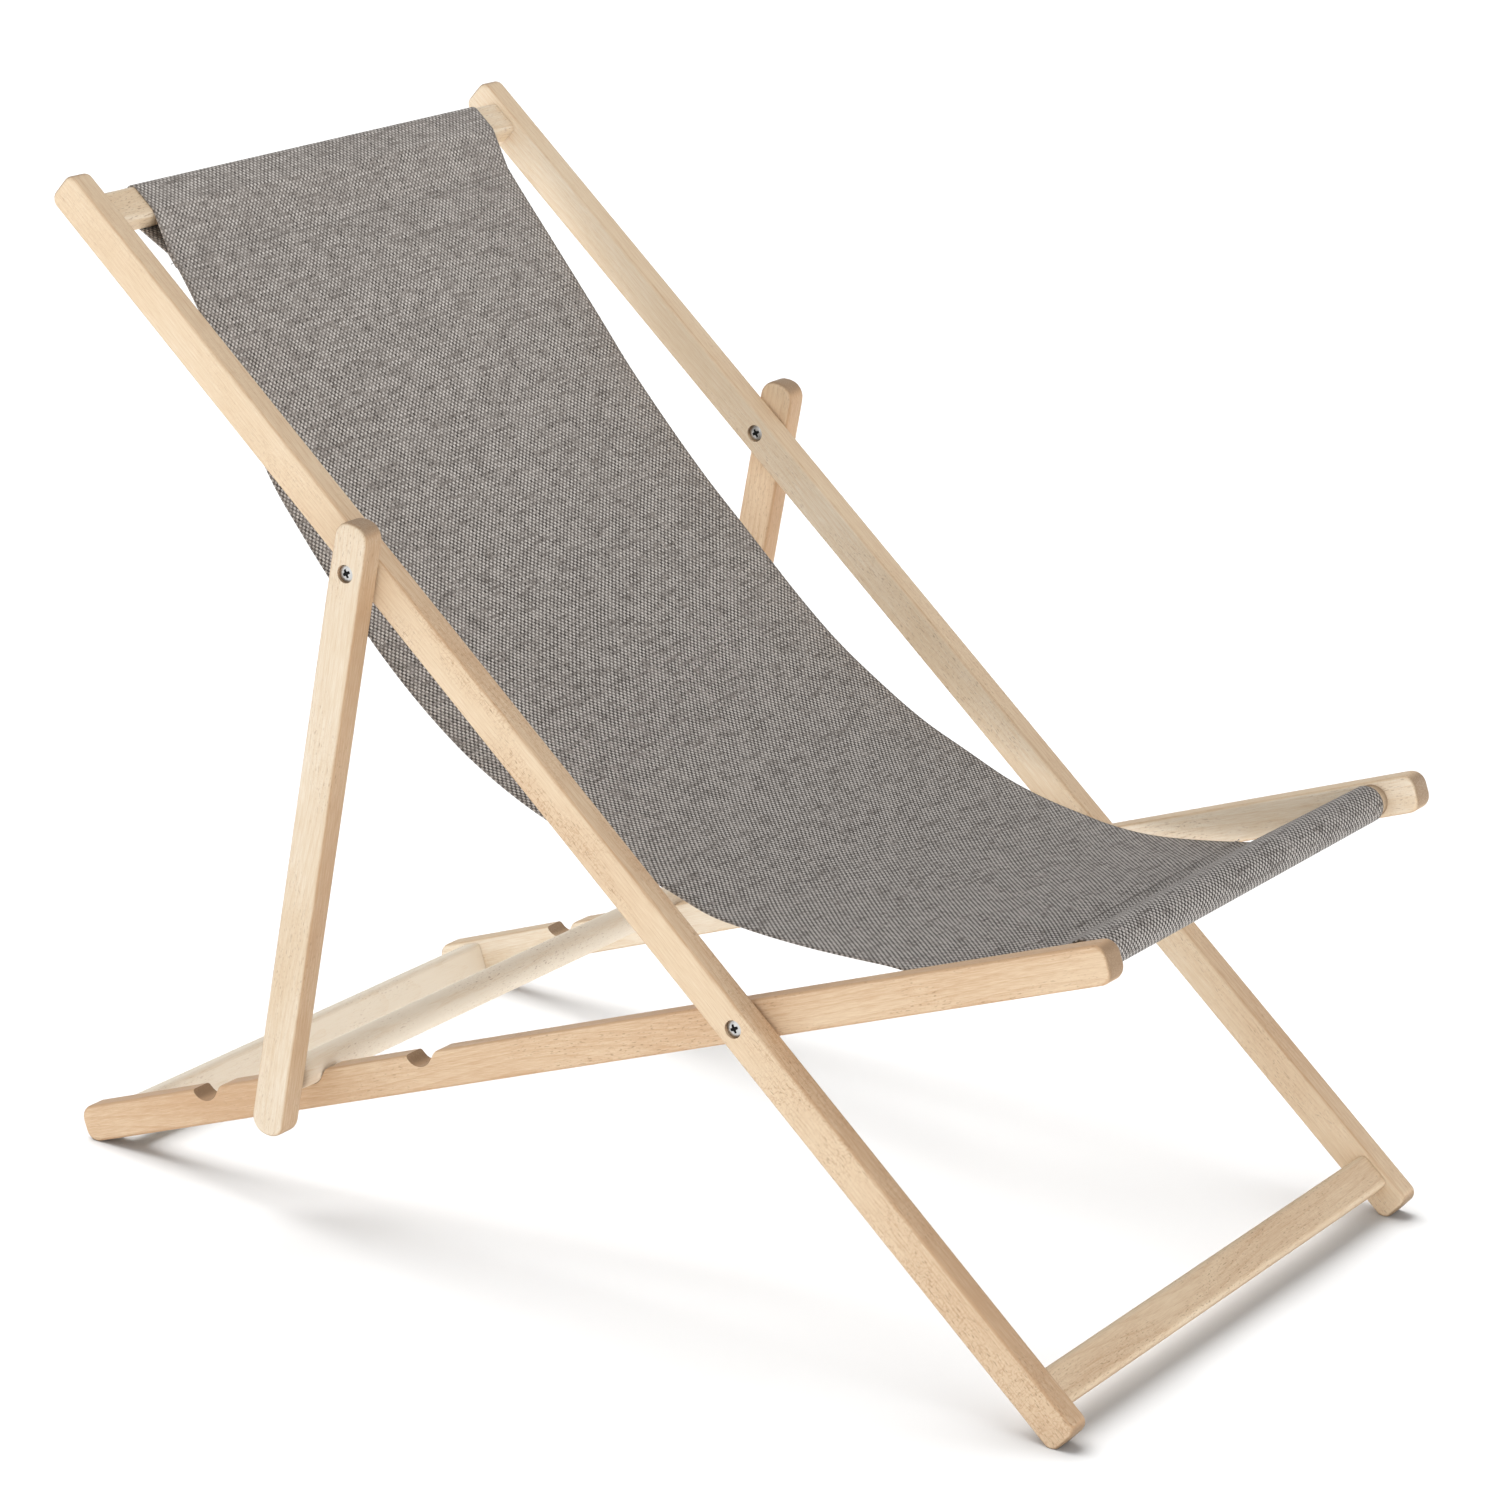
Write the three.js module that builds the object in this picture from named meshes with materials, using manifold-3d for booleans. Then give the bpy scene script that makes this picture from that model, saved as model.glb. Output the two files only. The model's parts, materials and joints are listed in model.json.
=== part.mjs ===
// A folding deck chair: three nested wooden frames on four screwed pivots, with a
// fabric sling hung between the top crossbar and the seat's front dowel.
// Millimetres, +Z up. X is the width, the sitter faces -Y, and the floor is Z = 0.
import * as THREE from "three";
import { mergeVertices } from "three/addons/utils/BufferGeometryUtils.js";
import Module from "manifold-3d";

const wasm = await Module();
wasm.setup();

// ---------------------------------------------------------------- dimensions
const GAP = 0.3; // running and seating clearance between separate pieces
const RAIL_W = 30; // width of every rail, seen from the side
const RAIL_T = 21; // thickness of every rail, across the chair
const EASE = 3; // eased long edges of the rails
const FRAME_GAP = 2; // between neighbouring frames, filled by a washer

const LONG_INNER = 254; // inner face of the long rails from the middle
const LONG_OUTER = LONG_INNER + RAIL_T;
const SEAT_OUTER = LONG_INNER - FRAME_GAP;
const SEAT_INNER = SEAT_OUTER - RAIL_T;
const PROP_INNER = LONG_OUTER + FRAME_GAP;
const PROP_OUTER = PROP_INNER + RAIL_T;

const PIVOT_Y = -169.68; // main pivot of the crossed frames
const PIVOT_Z = 250.3;
const BACK_TILT = 40; // degrees the long rails lean from the floor
const SEAT_TILT = -20.94; // the seat rails fall towards the rear

const LONG_FOOT = -378.5; // ends of the long rails from the main pivot
const LONG_TOP = 821.5;
const SEAT_FRONT = -310; // ends of the seat rails from the main pivot
const SEAT_REAR = 672;
const PROP_PIVOT_S = 441; // prop pivot along the long rail
const PROP_HEAD = -39.5; // ends of the prop legs from their pivot
const PROP_FOOT = 467;

const NOTCH_S = [534.5, 423.5, 312.5]; // the three rest notches, rear one first
const NOTCH_R = 13;
const NOTCH_V = 16.9; // centre of a notch above the seat rail's middle line
const PROP_DOWEL_R = 12.5;

const TOP_BAR = { s: 787.5, v: -0.5, w: 30, t: 20 }; // w along the rails, t across
const FOOT_BAR = { s: -342.8, v: 0.8, w: 30.5, t: 20 };
const REAR_BAR = { s: 635.5, v: -1.5, w: 20, t: 27 };
const FRONT_DOWEL = { s: -271.5, v: 0, r: 13 };
const BAR_EDGE = 5; // rounding of the crossbars' edges
const TENON = { deep: 12, w: 18, t: 10 };
const SPIGOT = { deep: 12, r: 8 };

const BOLT_HOLE_R = 4.3;
const COUNTERBORE_R = 7.0;
const COUNTERBORE_D = 4.0;
const HEAD_R = 6.4;
const HEAD_T = 2.0;
const HEAD_DOME = 0.6;
const SHANK_R = 3.0;
const SLEEVE_R = 4.0;
const SLEEVE_BORE_R = 3.3;
const WASHER_R = 9;

const SLING_HALF = 220; // half the sling's width
const SLING_T = 1.2;

const rad = THREE.MathUtils.degToRad;

// ----------------------------------------------------------------- materials
const beech = (hex) =>
  new THREE.MeshStandardMaterial({ color: hex, roughness: 0.55, metalness: 0 });
const steel = new THREE.MeshStandardMaterial({
  color: 0xb4b6b8,
  roughness: 0.32,
  metalness: 1,
});
const cloth = new THREE.MeshStandardMaterial({
  color: 0x918a84,
  roughness: 0.95,
  metalness: 0,
});

// ------------------------------------------------------------------- helpers
// A closed geometry as a solid that can be cut and joined.
const solid = (geometry) => {
  const g = geometry.clone();
  for (const name of Object.keys(g.attributes)) {
    if (name !== "position") g.deleteAttribute(name);
  }
  const m = mergeVertices(g, 1e-4);
  return new wasm.Manifold(
    new wasm.Mesh({
      numProp: 3,
      vertProperties: new Float32Array(m.attributes.position.array),
      triVerts: new Uint32Array(m.index.array),
    }),
  );
};

// A solid back as a geometry.
const geometryOf = (s) => {
  const m = s.getMesh();
  const g = new THREE.BufferGeometry();
  g.setAttribute(
    "position",
    new THREE.BufferAttribute(new Float32Array(m.vertProperties), 3),
  );
  g.setIndex(new THREE.BufferAttribute(new Uint32Array(m.triVerts), 1));
  const flat = g.toNonIndexed();
  flat.computeVertexNormals();
  return flat;
};

const cutAll = (base, tools) => tools.reduce((b, t) => b.subtract(t), base);

// Turns a side drawing (along, across) extruded upwards into the frame's own axes:
// Y along the rail, Z across it, X over the chair's width.
const sideToFrame = new THREE.Matrix4().makeBasis(
  new THREE.Vector3(0, 1, 0),
  new THREE.Vector3(0, 0, 1),
  new THREE.Vector3(1, 0, 0),
);

// An outline extruded from x0 to x1 with eased edges.
const sidePlate = (outline, x0, x1, ease = 0, holes = []) => {
  const shape = new THREE.Shape(outline.map(([s, v]) => new THREE.Vector2(s, v)));
  for (const hole of holes) {
    shape.holes.push(new THREE.Path(hole.map(([s, v]) => new THREE.Vector2(s, v))));
  }
  const g = new THREE.ExtrudeGeometry(shape, {
    depth: x1 - x0 - 2 * ease,
    bevelEnabled: ease > 0,
    bevelThickness: ease,
    bevelSize: ease,
    bevelOffset: -ease,
    bevelSegments: 3,
    curveSegments: 8,
  });
  g.translate(0, 0, x0 + ease);
  return g.applyMatrix4(sideToFrame);
};

// Points of an arc, both ends included, angles in degrees.
const arc = (cs, cv, r, a0, a1, n) =>
  Array.from({ length: n + 1 }, (_, i) => {
    const a = rad(a0 + ((a1 - a0) * i) / n);
    return [cs + r * Math.cos(a), cv + r * Math.sin(a)];
  });

// A bar outline from s0 to s1, its low and high end corners rounded by their own radii.
const barOutline = (s0, s1, w, rLow, rHigh = rLow, n = 8) => {
  const h = w / 2;
  return [
    ...arc(s0 + rLow, -h + rLow, rLow, 180, 270, n),
    ...arc(s1 - rHigh, -h + rHigh, rHigh, 270, 360, n),
    ...arc(s1 - rHigh, h - rHigh, rHigh, 0, 90, n),
    ...arc(s0 + rLow, h - rLow, rLow, 90, 180, n),
  ];
};

// A cylinder along X at (s, v), from x0 to x1.
const pinX = (s, v, r, x0, x1, n = 20) => {
  const g = new THREE.CylinderGeometry(r, r, x1 - x0, n);
  g.rotateZ(Math.PI / 2);
  g.translate((x0 + x1) / 2, s, v);
  return g;
};

const blockX = (s, v, w, t, x0, x1) => {
  const g = new THREE.BoxGeometry(x1 - x0, w, t);
  g.translate((x0 + x1) / 2, s, v);
  return g;
};

// A body of revolution about X; the profile holds (distance along X, radius) pairs.
const turnX = (profile, n = 20) => {
  const g = new THREE.LatheGeometry(
    profile.map(([x, r]) => new THREE.Vector2(r, x)),
    n,
  );
  g.rotateZ(-Math.PI / 2);
  return g;
};

// Convex outline round a set of points, anticlockwise.
const hullOf = (points) => {
  const p = [...points].sort((a, b) => a[0] - b[0] || a[1] - b[1]);
  const turn = (o, a, b) =>
    (a[0] - o[0]) * (b[1] - o[1]) - (a[1] - o[1]) * (b[0] - o[0]);
  const half = (list) => {
    const out = [];
    for (const q of list) {
      while (out.length > 1 && turn(out[out.length - 2], out[out.length - 1], q) <= 1e-6)
        out.pop();
      out.push(q);
    }
    return out.slice(0, -1);
  };
  return [...half(p), ...half([...p].reverse())];
};

// The left and right member of a pair: side is -1 or 1, and spans are given for side 1.
const span = (side, a, b) => (side > 0 ? [a, b] : [-b, -a]);

const add = (group, name, shape, material, side = 0) => {
  const made = shape instanceof THREE.BufferGeometry ? geometryOf(solid(shape)) : geometryOf(shape);
  const mesh = new THREE.Mesh(made, material);
  mesh.name = side === 0 ? name : `${name}_${side < 0 ? "left" : "right"}`;
  group.add(mesh);
  return mesh;
};

// -------------------------------------------------------------------- frames
const chair = new THREE.Group();
const backFrame = new THREE.Group();
const seatFrame = new THREE.Group();
const propFrame = new THREE.Group();
const slingFrame = new THREE.Group();
chair.add(backFrame, seatFrame, propFrame, slingFrame);

backFrame.position.set(0, PIVOT_Y, PIVOT_Z);
backFrame.rotation.x = rad(BACK_TILT);
seatFrame.position.set(0, PIVOT_Y, PIVOT_Z);
seatFrame.rotation.x = rad(SEAT_TILT);
slingFrame.position.set(0, PIVOT_Y, PIVOT_Z);

// A point given along and across a frame, in (Y, Z) from the main pivot.
const inSide = (tilt, s, v) => {
  const a = rad(tilt);
  return [s * Math.cos(a) - v * Math.sin(a), s * Math.sin(a) + v * Math.cos(a)];
};

// The prop's reach and lean follow from its pivot and the middle notch it rests in.
const propPivot = inSide(BACK_TILT, PROP_PIVOT_S, 0);
const restPoint = inSide(SEAT_TILT, NOTCH_S[1], NOTCH_V);
const PROP_REACH = Math.hypot(restPoint[0] - propPivot[0], restPoint[1] - propPivot[1]);
const PROP_TILT = Math.atan2(restPoint[1] - propPivot[1], restPoint[0] - propPivot[0]);
propFrame.position.set(0, PIVOT_Y + propPivot[0], PIVOT_Z + propPivot[1]);
propFrame.rotation.x = PROP_TILT;

// A flat level with the floor, taken off whatever reaches below it.
const floorCut = (tilt, x0, x1) => {
  const g = new THREE.BoxGeometry(x1 - x0 + 20, 2400, 200);
  g.translate((x0 + x1) / 2, 0, -100 - PIVOT_Z);
  g.rotateX(-rad(tilt));
  return solid(g);
};

// One notch: a round pocket with a steep rear wall and a ramp on the front side.
const notchOutline = (s) => {
  const ramp = NOTCH_R * Math.SQRT1_2;
  const lip = new THREE.QuadraticBezierCurve(
    new THREE.Vector2(s - ramp - 5.3, NOTCH_V - ramp + 5.3),
    new THREE.Vector2(s - ramp - 7.3, RAIL_W / 2),
    new THREE.Vector2(s - ramp - 12, RAIL_W / 2),
  )
    .getPoints(4)
    .map((p) => [p.x, p.y]);
  return [
    ...arc(s, NOTCH_V, NOTCH_R, -135, 0, 12),
    [s + NOTCH_R, RAIL_W],
    [s - ramp - 12, RAIL_W],
    ...[...lip].reverse(),
  ];
};

// ---------------------------------------------------------------- the rails
const counterbore = (s, outer, inner) => [
  solid(pinX(s, 0, BOLT_HOLE_R, Math.min(outer, inner) - 5, Math.max(outer, inner) + 5)),
  solid(
    pinX(
      s,
      0,
      COUNTERBORE_R,
      ...(outer > inner
        ? [outer - COUNTERBORE_D, outer + 5]
        : [outer - 5, outer + COUNTERBORE_D]),
      24,
    ),
  ),
];

for (const side of [-1, 1]) {
  // Long rail: foot, main pivot, prop pivot and top, with blind mortises for its crossbars.
  {
    const [x0, x1] = span(side, LONG_INNER, LONG_OUTER);
    const mortise = span(side, LONG_INNER - 5, LONG_INNER + TENON.deep + 0.5);
    const rail = cutAll(
      solid(sidePlate(barOutline(LONG_FOOT, LONG_TOP, RAIL_W, 8), x0, x1, EASE)),
      [
        ...counterbore(0, side * LONG_OUTER, side * LONG_INNER),
        ...counterbore(PROP_PIVOT_S, side * LONG_INNER, side * LONG_OUTER),
        solid(blockX(TOP_BAR.s, TOP_BAR.v, TENON.w + 2 * GAP, TENON.t + 2 * GAP, ...mortise)),
        solid(blockX(FOOT_BAR.s, FOOT_BAR.v, TENON.w + 2 * GAP, TENON.t + 2 * GAP, ...mortise)),
        floorCut(BACK_TILT, x0, x1),
      ],
    );
    add(backFrame, "long_rail", rail, beech(0xe9cfb1), side);
  }

  // Seat rail: the innermost frame, notched on its upper edge near the rear.
  {
    const [x0, x1] = span(side, SEAT_INNER, SEAT_OUTER);
    const rail = cutAll(
      solid(sidePlate(barOutline(SEAT_FRONT, SEAT_REAR, RAIL_W, 11), x0, x1, EASE)),
      [
        ...counterbore(0, side * SEAT_INNER, side * SEAT_OUTER),
        ...NOTCH_S.map((s) => solid(sidePlate(notchOutline(s), x0 - 5, x1 + 5))),
        solid(
          blockX(
            REAR_BAR.s,
            REAR_BAR.v,
            TENON.t + 2 * GAP,
            TENON.w + 2 * GAP,
            ...span(side, SEAT_INNER - 5, SEAT_INNER + TENON.deep + 0.5),
          ),
        ),
        solid(
          pinX(
            FRONT_DOWEL.s,
            FRONT_DOWEL.v,
            SPIGOT.r + GAP,
            ...span(side, SEAT_INNER - 5, SEAT_INNER + SPIGOT.deep + 0.5),
          ),
        ),
        floorCut(SEAT_TILT, x0, x1),
      ],
    );
    add(seatFrame, "seat_rail", rail, beech(0xe0bf9a), side);
  }

  // Prop leg: arched at both ends, outside the long rail.
  {
    const [x0, x1] = span(side, PROP_INNER, PROP_OUTER);
    const leg = cutAll(
      solid(sidePlate(barOutline(PROP_HEAD, PROP_FOOT, RAIL_W, 13.5, 13.5, 6), x0, x1, EASE)),
      [
        ...counterbore(0, side * PROP_OUTER, side * PROP_INNER),
        solid(
          pinX(
            PROP_REACH,
            0,
            SPIGOT.r + GAP,
            ...span(side, PROP_INNER - 5, PROP_INNER + SPIGOT.deep + 0.5),
          ),
        ),
      ],
    );
    add(propFrame, "prop_leg", leg, beech(0xecd7bc), side);
  }
}

// ------------------------------------------------------------ the crossbars
// A flat crossbar with eased edges, tenoned into both rails.
const crossbar = (bar, half, upright) => {
  const section = barOutline(bar.s - bar.w / 2, bar.s + bar.w / 2, bar.t, BAR_EDGE).map(
    ([s, v]) => [s, v + bar.v],
  );
  const body = solid(sidePlate(section, -(half - GAP), half - GAP));
  const [w, t] = upright ? [TENON.t, TENON.w] : [TENON.w, TENON.t];
  return body.add(
    solid(blockX(bar.s, bar.v, w, t, -(half + TENON.deep), half + TENON.deep)),
  );
};

// A round crossbar turned down to a spigot at each end.
const dowel = (s, v, r, half) => {
  const end = half + SPIGOT.deep;
  const g = turnX(
    [
      [-end, 0],
      [-end, SPIGOT.r],
      [-(half - GAP), SPIGOT.r],
      [-(half - GAP), r - 1],
      [-(half - GAP) + 1, r],
      [half - GAP - 1, r],
      [half - GAP, r - 1],
      [half - GAP, SPIGOT.r],
      [end, SPIGOT.r],
      [end, 0],
    ],
    32,
  );
  g.translate(0, s, v);
  return g;
};

add(backFrame, "top_crossbar", crossbar(TOP_BAR, LONG_INNER, false), beech(0xe6cbac));
add(backFrame, "foot_crossbar", crossbar(FOOT_BAR, LONG_INNER, false), beech(0xd8b893));
add(seatFrame, "seat_rear_crossbar", crossbar(REAR_BAR, SEAT_INNER, true), beech(0xe8d4ba));
add(
  seatFrame,
  "seat_front_dowel",
  dowel(FRONT_DOWEL.s, FRONT_DOWEL.v, FRONT_DOWEL.r, SEAT_INNER),
  beech(0xe0c19c),
);
add(propFrame, "prop_dowel", dowel(PROP_REACH, 0, PROP_DOWEL_R, PROP_INNER), beech(0xe6cfb2));

// ----------------------------------------------------------- pivot hardware
// The cross recess of a head whose top is at x, opening towards dir.
const crossRecess = (x, dir) => {
  const lo = Math.min(x - dir * 1.3, x + dir * 3);
  const hi = Math.max(x - dir * 1.3, x + dir * 3);
  const a = blockX(0, 0, 7.6, 1.7, lo, hi);
  const b = blockX(0, 0, 1.7, 7.6, lo, hi);
  a.rotateX(rad(20));
  b.rotateX(rad(20));
  return solid(a).add(solid(b));
};

// Head profile from its seat at x0 towards dir, closing on the axis.
const headProfile = (x0, dir) => [
  [x0, HEAD_R],
  [x0 + dir * (HEAD_T - 0.5), HEAD_R],
  [x0 + dir * HEAD_T, HEAD_R - 0.6],
  [x0 + dir * (HEAD_T + HEAD_DOME), HEAD_R * 0.45],
  [x0 + dir * (HEAD_T + HEAD_DOME), 0],
];

// A screw, a sleeve nut and the washer between the frames, at distance s along a rail.
const pivotSet = (name, s, inner, gapAt, outer, side) => {
  const headSeat = outer - COUNTERBORE_D + GAP;
  const nutSeat = inner + COUNTERBORE_D - GAP;
  const screwTip = nutSeat + 9;
  const sleeveEnd = headSeat - 5;

  const screwProfile = [
    [screwTip, 0],
    [screwTip, SHANK_R - 0.5],
    [screwTip + 0.5, SHANK_R],
    [headSeat, SHANK_R],
    ...headProfile(headSeat, 1),
  ];
  const screw = solid(turnX(screwProfile)).subtract(
    crossRecess(headSeat + HEAD_T + HEAD_DOME, 1),
  );

  const nutProfile = [
    ...[...headProfile(nutSeat, -1)].reverse(),
    [nutSeat, SLEEVE_R],
    [sleeveEnd, SLEEVE_R],
    [sleeveEnd, SLEEVE_BORE_R],
    [nutSeat + 2.5, SLEEVE_BORE_R],
    [nutSeat + 2.5, 0],
  ];
  const nut = solid(turnX(nutProfile)).subtract(
    crossRecess(nutSeat - HEAD_T - HEAD_DOME, -1),
  );

  const washer = turnX(
    [
      [gapAt + GAP, BOLT_HOLE_R],
      [gapAt + GAP, WASHER_R],
      [gapAt + FRAME_GAP - GAP, WASHER_R],
      [gapAt + FRAME_GAP - GAP, BOLT_HOLE_R],
      [gapAt + GAP, BOLT_HOLE_R],
    ],
    20,
  );

  // The right-hand set as drawn; the left-hand set is the same one turned about Z.
  const place = (shape) => {
    const g = geometryOf(shape instanceof THREE.BufferGeometry ? solid(shape) : shape);
    if (side < 0) g.rotateZ(Math.PI);
    g.translate(0, s, 0);
    return g;
  };
  const hold = (part, shape) => {
    const mesh = new THREE.Mesh(place(shape), steel);
    mesh.name = `${name}_${part}_${side < 0 ? "left" : "right"}`;
    backFrame.add(mesh);
  };
  hold("screw", screw);
  hold("nut", nut);
  hold("washer", washer);
};

for (const side of [-1, 1]) {
  pivotSet("seat_pivot", 0, SEAT_INNER, SEAT_OUTER, LONG_OUTER, side);
  pivotSet("prop_pivot", PROP_PIVOT_S, LONG_INNER, LONG_OUTER, PROP_OUTER, side);
}

// ------------------------------------------------------------------ the sling
// Sewn tunnels round the top crossbar and the front dowel, and the sagging sheet between.
// The crossbar's section with its faces moved out by d.
const topSection = (d) =>
  barOutline(
    TOP_BAR.s - TOP_BAR.w / 2 - d,
    TOP_BAR.s + TOP_BAR.w / 2 + d,
    TOP_BAR.t + 2 * d,
    BAR_EDGE + d,
  ).map(([s, v]) => inSide(BACK_TILT, s, v + TOP_BAR.v));

const frontSection = (d) =>
  arc(0, 0, FRONT_DOWEL.r + d, 0, 345, 23).map(([s, v]) => {
    const c = inSide(SEAT_TILT, FRONT_DOWEL.s, FRONT_DOWEL.v);
    return [c[0] + s, c[1] + v];
  });

const topSeam = inSide(BACK_TILT, 744, -3);
const frontSeam = [-157, 44.6];

// Middle line of the sheet from the top seam to the front seam.
const sheetBack = [
  [716, -8.5], [674, -18], [635, -28], [596, -38], [556, -47.5], [516, -54],
  [476, -58.5], [434, -61.5], [391, -62.8], [348, -62.3], [306, -60.5],
  [261, -54.5], [214, -43], [163, -27], [124, -11.5],
].map(([s, v]) => inSide(BACK_TILT, s, v));
const sheetSeat = [
  [56, 54], [28, 49.3], [-5, 45.6], [-33, 43.8], [-68, 43], [-100, 43.3], [-130, 44],
];
const middle = new THREE.SplineCurve(
  [topSeam, ...sheetBack, ...sheetSeat, frontSeam].map(([y, z]) => new THREE.Vector2(y, z)),
).getSpacedPoints(72);

// Both faces of the sheet, half its thickness either side of the middle line.
const faces = [1, -1].map((way) =>
  middle.map((p, i) => {
    const a = middle[Math.max(i - 1, 0)];
    const b = middle[Math.min(i + 1, middle.length - 1)];
    const l = Math.hypot(b.x - a.x, b.y - a.y);
    return [
      p.x - ((b.y - a.y) / l) * way * (SLING_T / 2),
      p.y + ((b.x - a.x) / l) * way * (SLING_T / 2),
    ];
  }),
);
const strip = [...faces[0], ...[...faces[1]].reverse()];

const tunnel = (section, seam, lead) => {
  const inner = hullOf([...section(GAP), seam]);
  const outer = hullOf([...section(GAP + SLING_T), lead]);
  return solid(sidePlate(outer, -SLING_HALF, SLING_HALF)).subtract(
    solid(sidePlate(inner, -SLING_HALF - 5, SLING_HALF + 5)),
  );
};

// How far past the seam the tunnel's two layers run together.
const past = (seam, from, d) => {
  const l = Math.hypot(seam[0] - from[0], seam[1] - from[1]);
  return [seam[0] + ((seam[0] - from[0]) / l) * d, seam[1] + ((seam[1] - from[1]) / l) * d];
};
const topCentre = inSide(BACK_TILT, TOP_BAR.s, TOP_BAR.v);
const frontCentre = inSide(SEAT_TILT, FRONT_DOWEL.s, FRONT_DOWEL.v);

const sling = solid(sidePlate(strip, -SLING_HALF, SLING_HALF))
  .add(tunnel(topSection, topSeam, past(topSeam, topCentre, 3)))
  .add(tunnel(frontSection, frontSeam, past(frontSeam, frontCentre, 8)));
add(slingFrame, "fabric_sling", sling, cloth);

export default chair;
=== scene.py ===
"""A folding deck chair: beech frames, plated pivot screws and a coarse melange sling.

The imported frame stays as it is. The crossed frames keep their own shapes and get
softened edges and a beech finish. The dowels, the pivot hardware and the sling are
made here as surfaces on grids. Metres, +Z up, the sitter faces -Y.
"""

import json
import math

import bmesh
import bpy
import numpy as np
from mathutils import Matrix, Vector


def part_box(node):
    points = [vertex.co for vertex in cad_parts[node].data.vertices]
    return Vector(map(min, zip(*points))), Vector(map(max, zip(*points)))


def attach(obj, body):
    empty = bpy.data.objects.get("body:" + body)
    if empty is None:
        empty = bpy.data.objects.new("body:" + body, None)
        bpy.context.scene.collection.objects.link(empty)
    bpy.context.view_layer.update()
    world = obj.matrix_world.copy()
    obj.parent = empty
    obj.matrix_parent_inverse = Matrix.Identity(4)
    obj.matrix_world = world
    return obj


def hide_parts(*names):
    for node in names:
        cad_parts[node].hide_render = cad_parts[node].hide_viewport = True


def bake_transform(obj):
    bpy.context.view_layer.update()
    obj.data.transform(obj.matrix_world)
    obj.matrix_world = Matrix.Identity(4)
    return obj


bl_info = {
    "name": "Folding Deck Chair",
    "version": (1, 0, 0),
    "blender": (4, 5, 0),
    "location": "View3D > Sidebar > Deck Chair",
    "description": "Beech frames, pivot hardware and a woven sling for a deck chair",
    "category": "Object",
}

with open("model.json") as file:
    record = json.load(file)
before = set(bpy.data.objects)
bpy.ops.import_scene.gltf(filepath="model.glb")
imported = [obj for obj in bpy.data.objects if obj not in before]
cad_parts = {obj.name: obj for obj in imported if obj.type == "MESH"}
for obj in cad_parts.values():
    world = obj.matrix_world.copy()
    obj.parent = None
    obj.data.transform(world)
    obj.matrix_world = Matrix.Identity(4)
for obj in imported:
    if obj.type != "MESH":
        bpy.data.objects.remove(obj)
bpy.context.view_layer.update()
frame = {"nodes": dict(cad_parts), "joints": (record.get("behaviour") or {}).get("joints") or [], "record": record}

MM = 0.001
PIVOT = Vector(frame["joints"][0]["pos_m"])
BODY_OF = {
    node: body
    for body, nodes in frame["record"]["behaviour"]["bodies"].items()
    for node in nodes
}

BACK_TILT = 40.0  # how each frame leans from the floor, degrees
SEAT_TILT = -20.94
PROP_TILT = -81.35

# The top bar's section: how far its sides lie along the long rail from the pivot, how
# far its faces lie off that line, and the radius of its corners, millimetres.
BAR_NEAR, BAR_FAR, BAR_UNDER, BAR_OVER, BAR_CORNER = 772.5, 802.5, -10.5, 9.5, 5.0

SPIGOT_LENGTH, SPIGOT_RADIUS = 0.0123, 0.008  # the ends of both dowels
HEAD_RADIUS, HEAD_DOME, HEAD_RIM = 0.0063, 0.0013, 0.0013  # screws and sleeve nuts
RECESS_DEPTH = 0.0020
CROWN_ROWS = 30  # rows of the grid on the domed part of a head
HEAD_SIDES, DOWEL_SIDES = 88, 72
STITCH_RINGS = STITCH_SIDES = 6
STITCH_RADIUS, STITCH_LIFT = 0.00042, 0.0005

# Sizes in the beech, metres: across the grain and along it.
RING_WIDTH = 0.0029
RING_WAVER = (1 / 30, 1 / 3)
FIBRE = (0.0008, 0.016)
CLOUD = (1 / 26, 1 / 7)
DASH = (0.0009, 0.0042)
PATCH = (1 / 40, 1 / 12)
WAVE = (0.006, 0.0032)

# Sizes in the canvas, metres: how far a colour lasts along a thread, and its hairs.
WARP_RUN, WEFT_RUN, HAIR = 0.016, 0.021, 0.0006

# The stage: the room's wall from its bright foot to its dimmer top, the panels with
# their place, side and power, the sun over the floor, and the camera.
WALL_HEIGHTS, WALL_LEVELS = (0.10, 0.95), (0.94, 0.62)
PANELS = (
    ("key_panel", (-3.7, 0.6, 1.3), 2.0, 9.0),
    ("front_panel", (-1.6, -3.8, 1.5), 2.2, 14.0),
    ("back_panel", (-2.2, 3.0, 2.1), 2.0, 15.0),
)
PANEL_AIM = (0.0, 0.0, 0.35)
SUN_FROM, SUN_ENERGY, SUN_SPREAD = (0.07, 0.46, 1.0), 5.8, 54.0
FLOOR_HALF, FLOOR_DROP = 14.0, 0.0002
CAMERA_PLACE, CAMERA_LENS, CAMERA_SENSOR = (-3.1526, -2.0028, 1.5587), 121.4, 36.0
CAMERA_ANGLES = (-57.58, 17.82, 2.21)  # azimuth, elevation and roll, degrees

# The sling's side view, millimetres from the main pivot: how far along the long rail
# and how far off it, then how much the left and the right edge lie off that line.
BACK_STATIONS = [
    (744, -3, 0, 0),
    (716, -8.5, -1, 1),
    (674, -18, -4, 4),
    (635, -28, -8, 8),
    (596, -38, -11.5, 12),
    (556, -47.5, -14.5, 15),
    (516, -54, -15, 17),
    (476, -58.5, -16, 18),
    (434, -61.5, -17, 18.5),
    (391, -62.8, -18, 19),
    (348, -62.3, -18, 17.5),
    (306, -60.5, -16, 15),
    (261, -54.5, -12.5, 10.5),
    (214, -43, -8.5, 5),
    (163, -27, -3.5, -1),
    (124, -11.5, 1, -4),
]
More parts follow.
